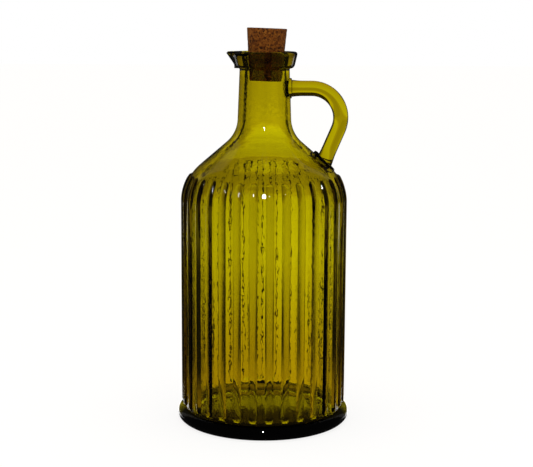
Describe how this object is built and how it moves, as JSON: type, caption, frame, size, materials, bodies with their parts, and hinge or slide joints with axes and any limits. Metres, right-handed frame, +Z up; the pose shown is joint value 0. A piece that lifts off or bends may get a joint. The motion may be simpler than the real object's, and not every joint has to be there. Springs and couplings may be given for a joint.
{
  "type": "oil cruet",
  "caption": "Tall ribbed glass oil cruet with a flared foot ring, sloping shoulder, narrow neck, pouring lip, bent rod handle and a tapered cork stopper.",
  "frame": {"origin": "centre of the standing ring, on the face the bottle stands on", "axes": "+Z up along the bottle's axis; +X towards the handle, -X along the pouring beak; +Y completes a right-handed frame"},
  "size_m": [0.1108, 0.1108, 0.2508],
  "materials": {
    "green_glass": "polished",
    "cork": "matte"
  },
  "bodies": {
    "root": {"glass_bottle": "green_glass", "cork": "cork"}
  },
  "joints": []
}
